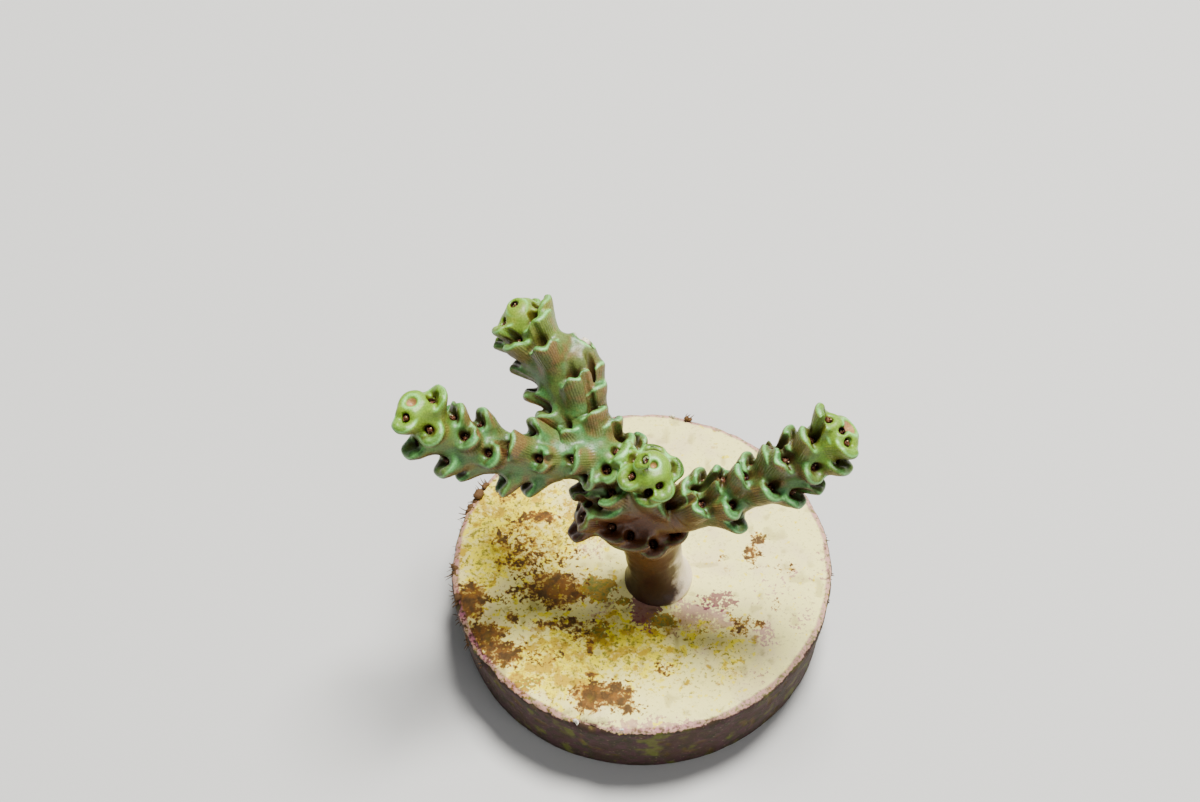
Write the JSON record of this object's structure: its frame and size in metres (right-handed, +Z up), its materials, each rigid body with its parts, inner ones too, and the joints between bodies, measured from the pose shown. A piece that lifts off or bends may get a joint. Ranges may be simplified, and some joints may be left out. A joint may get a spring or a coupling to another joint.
{
  "type": "acropora selago coral frag",
  "caption": "Small branching stony coral with scale-like corallites and open branch tips, grown on a round frag disc.",
  "frame": {"origin": "centre of the disc's flat underside", "axes": "+Z up, away from the surface it rests on; +X to the right and -Y towards the viewer of the picture"},
  "size_m": [0.028, 0.0247, 0.0255],
  "materials": {
    "disc": "rough cast, stained by algae",
    "coral": "live tissue over fine-grained skeleton, slightly moist sheen"
  },
  "bodies": {
    "root": {"frag_disc": "disc", "trunk": "coral", "right_branch": "coral", "front_branch": "coral", "left_branch": "coral", "back_branch": "coral"}
  },
  "joints": []
}
